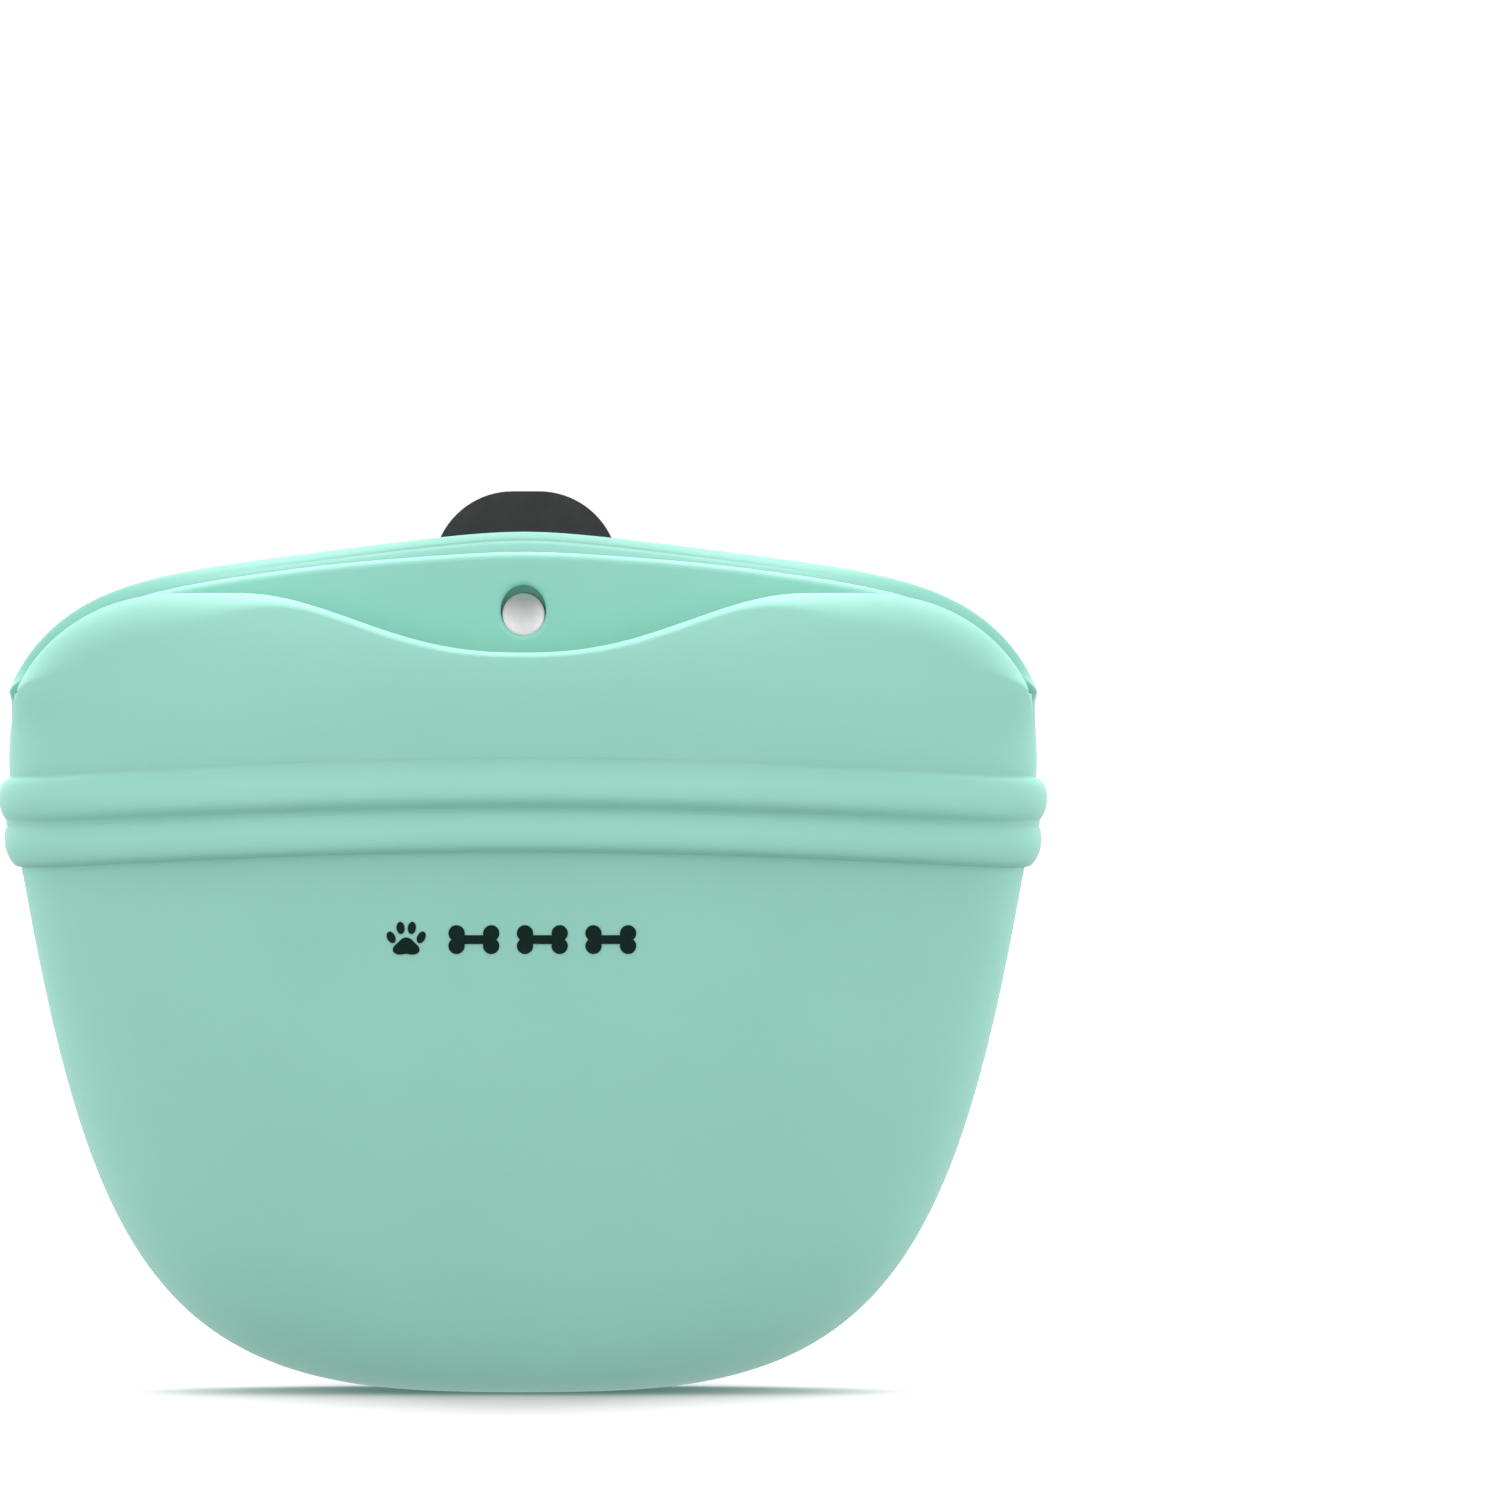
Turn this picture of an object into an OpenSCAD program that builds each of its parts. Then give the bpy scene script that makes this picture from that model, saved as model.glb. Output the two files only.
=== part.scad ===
// Soft treat pouch with a double bead ring, a magnetic mouth and a sprung belt clip.
// Millimetres. The pouch stands on z = 0, its front faces -Y and X runs to the right.

/* [Bag] */
// Wall thickness of the soft moulding
wall = 2.2; // [1.8:0.1:2.6]
// Height of the back lip above the base
lip_top = 115; // [113:0.5:117]
// Height of the lowest point of the front lip
dip_z = 98.7; // [98.2:0.1:100]
// How much higher the two humps of the front lip stand than the dip
hump_rise = 8; // [6:0.5:8.5]
// Roundness of the bag in plan, where 2 is an ellipse and larger is squarer
squareness = 3; // [2.6:0.1:3.4]

/* [Rings] */
// How far each bead stands out from the wall
bead_proud = 1.7; // [1:0.1:2]
// How much higher the beads run at the middle of the front than at the sides
bead_arch = 2.1; // [0:0.1:2.4]

/* [Mouth] */
// Diameter of the head of the rivet in the back lip
rivet_d = 5.8; // [5:0.2:7]
// Height of the rivet
rivet_z = 103.9; // [103:0.1:105]
// Clear gap between the two closed lips
mouth_gap = 0.4; // [0.4:0.1:1]
// Thickness of the strip that covers the magnets in each lip
cover_t = 1.2; // [0.8:0.1:1.4]
// Diameter of one magnet
magnet_d = 9; // [6:0.5:9]
// Thickness of one magnet
magnet_t = 2; // [1.5:0.1:2.2]

/* [Belt clip] */
// Width of the base plate
plate_w = 28; // [26:1:30]
// Thickness of the base plate
plate_t = 2.6; // [2.2:0.1:3]
// Room between the plate and the jaw for a belt
belt_gap = 5.8; // [5:0.1:6.5]
// Radius of the rounded ends of the thumb tab
tab_r = 10.8; // [10:0.1:11.4]
// Width of the flat top of the thumb tab
tab_flat = 3.6; // [2:0.1:4]
// Height of the top of the thumb tab
tab_top = 120.8; // [119:0.1:122]
// Thickness of the jaw and the thumb tab
lever_t = 2.6; // [2.2:0.1:3]
// Diameter of the hinge pin
pin_d = 3; // [2.4:0.2:3.2]

/* [Hidden] */
$fn = 64;

soft_colour = [0.57, 0.8, 0.74];
strip_colour = [0.6, 0.84, 0.78];
steel_colour = [0.72, 0.73, 0.75];
magnet_colour = [0.55, 0.56, 0.58];
clip_colour = [0.2, 0.2, 0.2];

// Heights of the soft moulding: top of the bag curve, mouth seam, notch, full lip.
bag_z = 70;
seam_z = 85.5;
seam_gap = 0.6;
notch_z = 90;
land_z = 93.2;
half_w = 68.85;
lip_inner = mouth_gap / 2;
lip_edge = 2.6;

// Control points of the bag below the rings: height, half width, front and back depth.
bag_heights = [0, 0, 20.16, bag_z];
bag_widths = [10, 49.15, 58.4, 67.2];
bag_fronts = [9, 24, 25, 15.2];
bag_backs = [9, 16, 17.5, 17];

// Grid of the soft moulding: columns across half of it and rows up the bag.
half_cols = 20;
bag_rows = 10;
lip_rows = 7;
ring_heights = [70.7, 71.6, 73.1, 74.6, 75.7, 76.1, 76.6, 77.6, 79.1, 80.6, 81.7, 82.4, seam_z];

// Magnets sit in both lips at these distances from the middle.
magnet_xs = [-49, -32, 32, 49];
magnet_z = 98.5;
recess_z = 93.9;

// Rivet: its head lies at the foot of a well in the back lip, its tail in a spot face behind.
rivet_r = rivet_d / 2;
rivet_face_y = 2.4;
rivet_head_t = 0.8;
rivet_shank_r = 2;
rivet_tail_r = rivet_r + 1.3;
rivet_tail_y = 5.6;
rivet_tail_t = 1;
rivet_dish = 0.4;

// Belt clip: seats cut in the back wall, then the plate, the hinge and the lever.
seat_y = 16.6;
inner_seat_y = 14.9;
seat_clear = 0.2;
plate_bottom = 44;
plate_top = 88;
plate_round = 3.8;
backing_w = 26;
backing_bottom = 46;
backing_top = 71;
backing_round = 3;
plate_y = seat_y + plate_t;
hinge_z = 80;
hinge_y = plate_y + belt_gap - 0.2;
pin_r = pin_d / 2;
hub_r = 3.6;
hub_in = 5.4;
hub_out = 10.9;
ear_in = 11.2;
ear_t = 2.4;
hinge_clear = 0.08;
tab_y = hinge_y - 1.2;
jaw_y = plate_y + belt_gap;
jaw_bottom = 41;
jaw_w = 18;
jaw_round = 4;
neck_w = 20;
tab_z = tab_top - tab_r;
grip_drops = [3.3, 5.8, 8.3];
grip_r = 0.5;
hook_r = 2;
tooth_r = 0.6;
tooth_zs = [50, 54, 58];
screw_xs = [-9, 9];
screw_zs = [51, 66];
screw_r = 1.5;
screw_head_r = 2.9;
screw_head_t = 1.4;
slot_l = 3;
slot_w = 0.6;
slot_deep = 0.8;
backing_t = 2;
boss_h = 1.6;
spring_r = 2.6;
wire_r = 0.5;
spring_half = 4.6;
spring_leg = 12;
pin_head = 0.7;
pin_head_t = 0.8;

function clamp(v) = max(0, min(1, v));
function smooth(v) = let(c = clamp(v)) c * c * (3 - 2 * c);
function mix(a, b, f) = a + (b - a) * f;

// Cubic Bezier value and slope at t.
function bezier(p, t) = pow(1 - t, 3) * p[0] + 3 * pow(1 - t, 2) * t * p[1]
    + 3 * (1 - t) * t * t * p[2] + pow(t, 3) * p[3];
function bezier_slope(p, t) = 3 * pow(1 - t, 2) * (p[1] - p[0])
    + 6 * (1 - t) * t * (p[2] - p[1]) + 3 * t * t * (p[3] - p[2]);

// Hermite curve through knots of [height, value, slope].
function hermite(a, b, z) = let(h = b[0] - a[0], t = (z - a[0]) / h)
    (1 + 2 * t) * pow(1 - t, 2) * a[1] + t * pow(1 - t, 2) * h * a[2]
    + t * t * (3 - 2 * t) * b[1] - t * t * (1 - t) * h * b[2];
function along(knots, z, i = 0) =
    (i >= len(knots) - 2 || z <= knots[i + 1][0]) ? hermite(knots[i], knots[i + 1], z)
    : along(knots, z, i + 1);

// Front depth, back depth and half width above the bag as [height, value, slope].
front_knots = [[70, 15.2, -0.2], [84, 12.6, -0.17], [94, 10.5, -0.28], [102, 7.4, -0.46], [109, 4.6, -0.3]];
back_knots = [[70, 17, 0], [86, 16.6, -0.15], [97, 11.2, -0.65], [106, 6.4, -0.3], [118, 4.8, -0.05]];
width_knots = [[70, 67.2, 0.18], [84, half_w, 0.02], [93, half_w, 0]];

// Top outline of the back lip and of the front lip at a distance x from the middle.
function back_top(x) = let(u = min(1, abs(x) / (half_w + 0.05)))
    lip_top - 9.1 * (norm([u, 0.12]) - 0.12) - 13.5 * (1 - pow(1 - pow(u, 8), 0.78));
function front_top(x) = let(a = abs(x))
    a < 38 ? dip_z + hump_rise * (1 - cos(180 * pow(a / 38, 1.2))) / 2
    : dip_z + hump_rise - 13.2 * (1 - pow(1 - pow(clamp((a - 44) / 23.7), 2.5), 0.76));

// Half circle of a bead, and both beads at one height.
function bead(z, middle) = bead_proud * sqrt(max(0, 1 - pow((z - middle) / 3.1, 2)));
function beads(z) = bead(z, 73.1) + bead(z, 79.1);
// The beads fade out behind the clip plate.
function bead_fade(x, side) = side > 0 ? smooth((abs(x) - 17) / 9) : 1;
// Arch of the beads on the front, strongest at ring height.
function arch(x, side, z) = side > 0 ? 0
    : bead_arch * cos(90 * clamp(abs(x) / 64)) * smooth((z - 50) / 20) * (1 - smooth((z - 82.4) / 9));

// Column factors run from 1 at the right side over 0 in the middle to -1 at the left.
function factor(j) = j <= half_cols ? 1 - pow(j / half_cols, 1.8)
    : pow((2 * half_cols - j) / half_cols, 1.8) - 1;
// Share of the full depth that a column has, for plan squareness n.
function depth_share(c, n) = pow(max(0, 1 - pow(abs(c), n)), 1 / n);

// Points of the bag below the rings, on the outside and on the inside.
function bag_n(t) = mix(2.2, squareness, smooth(t / 0.6));
function bag_outer(t, c, side) = let(d = bezier(side > 0 ? bag_backs : bag_fronts, t),
        z = bezier(bag_heights, t), x = bezier(bag_widths, t) * c)
    [x, side * d * depth_share(c, bag_n(t)), z + arch(x, side, z)];
function bag_inner(t, c, side) = let(dw = bezier_slope(bag_widths, t), dz = bezier_slope(bag_heights, t),
        l = norm([dw, dz]), inset = wall * dz / l, d = bezier(side > 0 ? bag_backs : bag_fronts, t))
    [(bezier(bag_widths, t) - inset) * c, side * (d - inset) * depth_share(c, bag_n(t)),
     bezier(bag_heights, t) + wall * dw / l];

// Points between the bag and the mouth seam, on the outside with beads and on the inside.
function ring_outer(z, c, side) = let(r = beads(z) * bead_fade(half_w * c, side),
        x = (along(width_knots, z) + r) * c, d = along(side > 0 ? back_knots : front_knots, z) + r)
    [x, side * d * depth_share(c, squareness), z + arch(x, side, z)];
function ring_inner(z, c, side) = let(d = along(side > 0 ? back_knots : front_knots, z) - wall)
    [(along(width_knots, z) - wall) * c, side * d * depth_share(c, squareness), z];

// Rows of a lip from its foot to its top: fixed heights, then even steps, then the round edge.
function edge_round(top) = min(1.2, 0.4 * (top - land_z));
function lip_z(m, foot, top) = m == 0 ? foot : m == 1 ? 88.8 : m == 2 ? 91.6 : m == 3 ? land_z
    : m == lip_rows ? top : mix(land_z, top - edge_round(top), (m - 3) / (lip_rows - 4));
// Half width of a lip, where the front lip steps in above the notch.
function lip_width(z, side) = side > 0 ? half_w : mix(half_w, half_w - 1.15, smooth((z - notch_z) / 3));
// Thickness of a lip at its two ends.
function lip_end(z) = lip_edge * smooth((z - seam_z) / 8);
// The two lips keep this far from the middle plane.
function lip_clear(z, side) = side > 0 ? lip_inner * clamp((z - seam_z) / 2)
    : mix(seam_gap, lip_inner, smooth((z - notch_z) / 3));
function lip_outer(m, c, side, foot, top) = let(z = lip_z(m, foot, top), edge = lip_end(z),
        d = along(side > 0 ? back_knots : front_knots, z), x = lip_width(z, side) * c,
        y = max(lip_clear(z, side), edge + (d - edge) * depth_share(c, squareness)),
        r = m == lip_rows ? 0.8 * edge_round(top) : 0)
    [x, side * (y - r), z + arch(x, side, z)];
function lip_inner_depth(z, side) = let(foot = along(side > 0 ? back_knots : front_knots, seam_z) - wall)
    foot * sqrt(max(0, 1 - pow(clamp((z - seam_z) / (land_z - seam_z)), 2)));
function lip_inner_point(m, c, side, foot, top) = let(z = lip_z(m, foot, top),
        w = mix(half_w - wall, lip_width(z, side) - 0.3, smooth((z - notch_z) / (land_z - notch_z))),
        y = max(lip_clear(z, side), lip_inner_depth(z, side) * depth_share(c, squareness)),
        r = m == lip_rows ? 0.5 * edge_round(top) : 0)
    [w * c, side * (y + r), z];

// Two triangles for four corners given clockwise as seen from outside.
function quad(a, b, c, d) = [[a, b, c], [a, c, d]];

// The whole bag with its collar and back lip as one closed skin, hollow inside.
module bag_skin() {
    half = 2 * half_cols;
    n = 2 * half;
    span = half + 1;
    inner_bag_rows = bag_rows - 2;
    inner_heights = [76, 81, seam_z];
    outer_rows = bag_rows + 1 + len(ring_heights);
    inner_rows = inner_bag_rows + 1 + len(inner_heights);
    cols = [for (j = [0:n - 1]) j <= half ? [factor(j), 1] : [factor(n - j), -1]];
    outer = [for (i = [0:bag_rows], k = cols) bag_outer(i / bag_rows, k[0], k[1]),
             for (z = ring_heights, k = cols) ring_outer(z, k[0], k[1])];
    inner = [for (i = [0:inner_bag_rows], k = cols) bag_inner(i / inner_bag_rows, k[0], k[1]),
             for (z = inner_heights, k = cols) ring_inner(z, k[0], k[1])];
    lip_out = [for (m = [1:lip_rows], j = [0:half])
        lip_outer(m, factor(j), 1, seam_z, back_top(half_w * factor(j)))];
    lip_in = [for (m = [1:lip_rows], j = [0:half])
        lip_inner_point(m, factor(j), 1, seam_z, back_top(half_w * factor(j)))];
    inner_start = len(outer);
    lip_start = inner_start + len(inner);
    lip_in_start = lip_start + len(lip_out);
    base_mid = lip_in_start + len(lip_in);
    floor_mid = base_mid + 1;
    function o(i, j) = i * n + j % n;
    function u(i, j) = inner_start + i * n + j % n;
    function lo(m, j) = m == 0 ? o(outer_rows - 1, j) : lip_start + (m - 1) * span + j;
    function li(m, j) = m == 0 ? u(inner_rows - 1, j) : lip_in_start + (m - 1) * span + j;
    faces = [
        for (i = [0:outer_rows - 2], j = [0:n - 1])
            each quad(o(i, j), o(i + 1, j), o(i + 1, j + 1), o(i, j + 1)),
        for (i = [0:inner_rows - 2], j = [0:n - 1])
            each quad(u(i, j), u(i, j + 1), u(i + 1, j + 1), u(i + 1, j)),
        for (j = [0:n - 1]) [base_mid, o(0, j), o(0, j + 1)],
        for (j = [0:n - 1]) [floor_mid, u(0, j + 1), u(0, j)],
        for (j = [half:n - 1]) each quad(o(outer_rows - 1, j), u(inner_rows - 1, j),
            u(inner_rows - 1, j + 1), o(outer_rows - 1, j + 1)),
        for (m = [0:lip_rows - 1], j = [0:half - 1])
            each quad(lo(m, j), lo(m + 1, j), lo(m + 1, j + 1), lo(m, j + 1)),
        for (m = [0:lip_rows - 1], j = [0:half - 1])
            each quad(li(m, j), li(m, j + 1), li(m + 1, j + 1), li(m + 1, j)),
        for (j = [0:half - 1])
            each quad(lo(lip_rows, j), li(lip_rows, j), li(lip_rows, j + 1), lo(lip_rows, j + 1)),
        for (m = [0:lip_rows - 1]) each quad(li(m, 0), li(m + 1, 0), lo(m + 1, 0), lo(m, 0)),
        for (m = [0:lip_rows - 1]) each quad(lo(m, half), lo(m + 1, half), li(m + 1, half), li(m, half))
    ];
    polyhedron(concat(outer, inner, lip_out, lip_in, [[0, 0, 0], [0, 0, wall]]), faces, convexity = 6);
}

// The front of the collar with the front lip, from the seam up.
module front_skin() {
    half = 2 * half_cols;
    span = half + 1;
    foot = seam_z + seam_gap;
    width = lip_width(lip_top, -1);
    out = [for (m = [0:lip_rows], j = [0:half])
        lip_outer(m, -factor(j), -1, foot, front_top(width * factor(j)))];
    in = [for (m = [0:lip_rows], j = [0:half])
        lip_inner_point(m, -factor(j), -1, foot, front_top(width * factor(j)))];
    function o(m, j) = m * span + j;
    function u(m, j) = len(out) + m * span + j;
    faces = [
        for (m = [0:lip_rows - 1], j = [0:half - 1])
            each quad(o(m, j), o(m + 1, j), o(m + 1, j + 1), o(m, j + 1)),
        for (m = [0:lip_rows - 1], j = [0:half - 1])
            each quad(u(m, j), u(m, j + 1), u(m + 1, j + 1), u(m + 1, j)),
        for (j = [0:half - 1])
            each quad(o(lip_rows, j), u(lip_rows, j), u(lip_rows, j + 1), o(lip_rows, j + 1)),
        for (j = [0:half - 1]) each quad(o(0, j), o(0, j + 1), u(0, j + 1), u(0, j)),
        for (m = [0:lip_rows - 1]) each quad(u(m, 0), u(m + 1, 0), o(m + 1, 0), o(m, 0)),
        for (m = [0:lip_rows - 1]) each quad(o(m, half), o(m + 1, half), u(m + 1, half), u(m, half))
    ];
    polyhedron(concat(out, in), faces, convexity = 6);
}

// Outline of the magnet cover strip in one lip, standing in the x-z plane.
module strip_outline(side) {
    reach = side > 0 ? 61 : 60.5;
    steps = 32;
    edge = [for (i = [0:steps]) let(x = reach * (1 - 2 * i / steps))
        [x, side > 0 ? back_top(x) - mix(2.7, 1.9, smooth(abs(x) / 30)) : front_top(x / 0.93) - 2.2]];
    polygon(concat([[-reach, recess_z], [reach, recess_z]], edge));
}

// A slab of thickness t standing in the x-z plane with its front face at y.
module upright(y, t) {
    translate([0, y + t, 0]) rotate([90, 0, 0]) linear_extrude(t) children();
}

// A round rod along Y from y0 to y1.
module rod_y(x, z, r, y0, y1) {
    translate([x, y0, z]) rotate([-90, 0, 0]) cylinder(r = r, h = y1 - y0);
}

// A round rod along X from x0 to x1.
module rod_x(y, z, r, x0, x1) {
    translate([x0, y, z]) rotate([0, 90, 0]) cylinder(r = r, h = x1 - x0);
}

module rounded_rect(w, z0, z1, r) {
    offset(r) translate([-w / 2 + r, z0 + r]) square([w - 2 * r, z1 - z0 - 2 * r]);
}

module pouch_body() color(soft_colour) {
    difference() {
        bag_skin();
        rod_y(0, rivet_z, rivet_r, -1, rivet_face_y + rivet_head_t);
        rod_y(0, rivet_z, rivet_shank_r, 0, rivet_tail_y + 1);
        rod_y(0, rivet_z, rivet_tail_r + seat_clear, rivet_tail_y, 20);
        upright(-1, 1 + lip_inner + cover_t) strip_outline(1);
        for (x = magnet_xs) rod_y(x, magnet_z, magnet_d / 2, 0, lip_inner + cover_t + magnet_t);
        upright(seat_y, 6) rounded_rect(plate_w + 2 * seat_clear, plate_bottom - seat_clear,
            plate_top + seat_clear, plate_round + seat_clear);
        upright(inner_seat_y - 6, 6) rounded_rect(backing_w + 2 * seat_clear,
            backing_bottom - seat_clear, backing_top + seat_clear, backing_round);
        for (x = screw_xs, z = screw_zs) rod_y(x, z, screw_r, 10, 20);
    }
}

module front_lip() color(soft_colour) {
    difference() {
        front_skin();
        upright(-lip_inner - cover_t, lip_inner + cover_t + 1) strip_outline(-1);
        for (x = magnet_xs) rod_y(x, magnet_z, magnet_d / 2, -lip_inner - cover_t - magnet_t, 0);
    }
}

module back_lip_cover() color(strip_colour) {
    difference() {
        upright(lip_inner, cover_t) strip_outline(1);
        rod_y(0, rivet_z, rivet_r, -1, 20);
    }
}

module front_lip_cover() color(strip_colour) {
    upright(-lip_inner - cover_t, cover_t) strip_outline(-1);
}

// Steel rivet through the back lip, with a dished head in front and a flat tail behind.
module lip_rivet() color(steel_colour) {
    rim = rivet_r - 0.2;
    dish_r = (rim * rim + rivet_dish * rivet_dish) / (2 * rivet_dish);
    difference() {
        union() {
            rod_y(0, rivet_z, rivet_r, rivet_face_y, rivet_face_y + rivet_head_t);
            rod_y(0, rivet_z, rivet_shank_r, rivet_face_y, rivet_tail_y + rivet_tail_t);
            rod_y(0, rivet_z, rivet_tail_r, rivet_tail_y, rivet_tail_y + rivet_tail_t);
        }
        translate([0, rivet_face_y + rivet_dish - dish_r, rivet_z]) sphere(dish_r);
    }
}

module magnet(x, y) color(magnet_colour) {
    rod_y(x, magnet_z, magnet_d / 2, y, y + magnet_t);
}
module back_magnet(i) { magnet(magnet_xs[i], lip_inner + cover_t); }
module front_magnet(i) { magnet(magnet_xs[i], -lip_inner - cover_t - magnet_t); }

// Plate screwed to the back wall, with two ears that carry the hinge pin.
module clip_base() color(clip_colour) {
    difference() {
        union() {
            upright(seat_y, plate_t) rounded_rect(plate_w, plate_bottom, plate_top, plate_round);
            for (side = [-1, 1]) {
                inner = side > 0 ? ear_in : -ear_in - ear_t;
                rod_x(hinge_y, hinge_z, hub_r, inner, inner + ear_t);
                translate([inner, plate_y - 1, hinge_z - hub_r])
                    cube([ear_t, hinge_y - plate_y + 1, 2 * hub_r]);
            }
        }
        rod_x(hinge_y, hinge_z, pin_r, -plate_w, plate_w);
        for (x = screw_xs, z = screw_zs) {
            rod_y(x, z, screw_r, 10, 30);
            translate([x, plate_y - screw_head_t, z]) rotate([-90, 0, 0])
                cylinder(r1 = screw_r, r2 = screw_head_r, h = screw_head_t);
        }
    }
}

// Plate inside the pouch that the screws bite into.
module clip_backing_plate() color(clip_colour) {
    difference() {
        union() {
            upright(inner_seat_y - backing_t, backing_t)
                rounded_rect(backing_w, backing_bottom, backing_top, backing_round);
            for (x = screw_xs, z = screw_zs)
                rod_y(x, z, 2 * screw_r, inner_seat_y - backing_t - boss_h, inner_seat_y - 1);
        }
        for (x = screw_xs, z = screw_zs) rod_y(x, z, screw_r, 5, 20);
    }
}

// Countersunk screw with a cross slot, its head flush with the plate.
module screw(x, z) {
    difference() {
        union() {
            rod_y(x, z, screw_r, inner_seat_y - backing_t - boss_h, plate_y - screw_head_t);
            translate([x, plate_y - screw_head_t, z]) rotate([-90, 0, 0])
                cylinder(r1 = screw_r, r2 = screw_head_r, h = screw_head_t);
        }
        translate([x - slot_l / 2, plate_y - slot_deep, z - slot_w / 2]) cube([slot_l, 1, slot_w]);
        translate([x - slot_w / 2, plate_y - slot_deep, z - slot_l / 2]) cube([slot_w, 1, slot_l]);
    }
}
module clip_screws() color(steel_colour) {
    for (x = screw_xs, z = screw_zs) screw(x, z);
}

// Toothed jaw below the hinge, with a rounded hook along its lower end.
module jaw() {
    hook_y = plate_y + hook_r + 0.4;
    translate([-jaw_w / 2, jaw_y, jaw_bottom]) cube([jaw_w, lever_t, hinge_z - jaw_bottom]);
    rod_x(hook_y, jaw_bottom + hook_r, hook_r, -jaw_w / 2, jaw_w / 2);
    translate([-jaw_w / 2, hook_y, jaw_bottom]) cube([jaw_w, jaw_y + lever_t - hook_y, 2 * hook_r]);
    for (z = tooth_zs) rod_x(jaw_y, z, tooth_r, -jaw_w / 2, jaw_w / 2);
}

// Rocking lever: thumb tab with grip ribs above the hinge, jaw below it.
module clip_lever() color(clip_colour) {
    difference() {
        union() {
            for (x = [-tab_flat, tab_flat] / 2) rod_y(x, tab_z, tab_r, tab_y, tab_y + lever_t);
            translate([-tab_flat / 2, tab_y, tab_z]) cube([tab_flat, lever_t, tab_r]);
            translate([-neck_w / 2, tab_y, hinge_z]) cube([neck_w, lever_t, tab_z - hinge_z]);
            for (drop = grip_drops) rod_x(tab_y + lever_t, tab_top - drop, grip_r, -drop - 1, drop + 1);
            rod_x(hinge_y, hinge_z, hub_r, -hub_out, hub_out);
            intersection() {
                jaw();
                upright(plate_y, 20) rounded_rect(jaw_w, jaw_bottom, hinge_z + jaw_round, jaw_round);
            }
        }
        rod_x(hinge_y, hinge_z, pin_r + hinge_clear, -plate_w, plate_w);
        translate([-hub_in, hinge_y - 5, hinge_z - hub_r - 0.4]) cube([2 * hub_in, 10, 2 * hub_r + 0.8]);
    }
}

module clip_hinge_pin() color(steel_colour) {
    reach = ear_in + ear_t;
    rod_x(hinge_y, hinge_z, pin_r, -reach, reach);
    rod_x(hinge_y, hinge_z, pin_r + pin_head, reach, reach + pin_head_t);
    rod_x(hinge_y, hinge_z, pin_r + pin_head, -reach - pin_head_t, -reach);
}

// Torsion spring round the pin, with one leg on the plate and one on the thumb tab.
module clip_spring() color(steel_colour) {
    turns = 8;
    pitch = 2 * spring_half / turns;
    coil = [for (i = [0:turns]) each [[spring_r + 0.15, -spring_half + i * pitch - pitch / 4],
                                      [spring_r + wire_r, -spring_half + i * pitch + pitch / 4]]];
    translate([0, hinge_y, hinge_z]) rotate([0, 90, 0]) rotate_extrude()
        polygon(concat([[spring_r - wire_r, -spring_half - pitch / 4]], coil,
                       [[spring_r - wire_r, spring_half + pitch / 4]]));
    translate([spring_half - wire_r, hinge_y - spring_r, hinge_z]) cylinder(r = wire_r, h = spring_leg);
    translate([-spring_half + wire_r, hinge_y - spring_r, hinge_z]) rotate([169, 0, 0])
        cylinder(r = wire_r, h = spring_leg);
}

pouch_body();
front_lip();
back_lip_cover();
front_lip_cover();
lip_rivet();
back_magnet(0);  // back_magnet_1
back_magnet(1);  // back_magnet_2
back_magnet(2);  // back_magnet_3
back_magnet(3);  // back_magnet_4
front_magnet(0);  // front_magnet_1
front_magnet(1);  // front_magnet_2
front_magnet(2);  // front_magnet_3
front_magnet(3);  // front_magnet_4
clip_base();
clip_backing_plate();
clip_screws();
clip_lever();
clip_hinge_pin();
clip_spring();
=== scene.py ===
import math

import bmesh
import bpy
import numpy as np
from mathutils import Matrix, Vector


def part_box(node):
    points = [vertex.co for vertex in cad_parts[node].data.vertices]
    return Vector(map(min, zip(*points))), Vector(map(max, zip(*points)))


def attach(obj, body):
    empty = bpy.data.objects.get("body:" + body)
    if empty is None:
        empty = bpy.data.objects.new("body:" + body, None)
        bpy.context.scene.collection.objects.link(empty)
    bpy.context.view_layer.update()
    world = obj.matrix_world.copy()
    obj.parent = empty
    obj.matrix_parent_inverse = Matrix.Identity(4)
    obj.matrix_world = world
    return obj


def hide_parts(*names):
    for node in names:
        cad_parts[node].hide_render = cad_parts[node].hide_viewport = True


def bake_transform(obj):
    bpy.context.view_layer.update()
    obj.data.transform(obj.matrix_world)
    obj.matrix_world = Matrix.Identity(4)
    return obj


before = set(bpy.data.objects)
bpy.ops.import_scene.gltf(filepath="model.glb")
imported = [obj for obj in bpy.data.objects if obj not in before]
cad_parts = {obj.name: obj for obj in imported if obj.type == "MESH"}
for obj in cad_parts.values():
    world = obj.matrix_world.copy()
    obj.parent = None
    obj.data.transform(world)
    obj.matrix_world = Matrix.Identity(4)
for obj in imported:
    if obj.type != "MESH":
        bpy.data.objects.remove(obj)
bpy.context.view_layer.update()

MM = 0.001

# ---------------------------------------------------------------- shape of the soft moulding, in mm
WALL = 2.2
SQUARENESS = 3.0  # exponent of the bag's rounded outline, seen from above
LIP_SQUARENESS = 2.3
HALF_WIDTH = 68.85
BACK_EDGE_HALF_WIDTH = HALF_WIDTH + 0.05
FRONT_EDGE_HALF_WIDTH = 67.7

# Heights, from the bag up to the lips
BAG_TOP = 70.0
SKIN_SEAM = 82.6  # where the bag's rows of mesh end and the lips' rows start
LIP_SEAM = 85.5  # where the CAD splits off the front lip
NOTCH = 91.2  # where the back lip steps out at both sides
LAND = 93.2  # lowest line where the lips' inner faces meet
LIP_FOOT = 93.4  # just below the lowest points of both lips' edges

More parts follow.
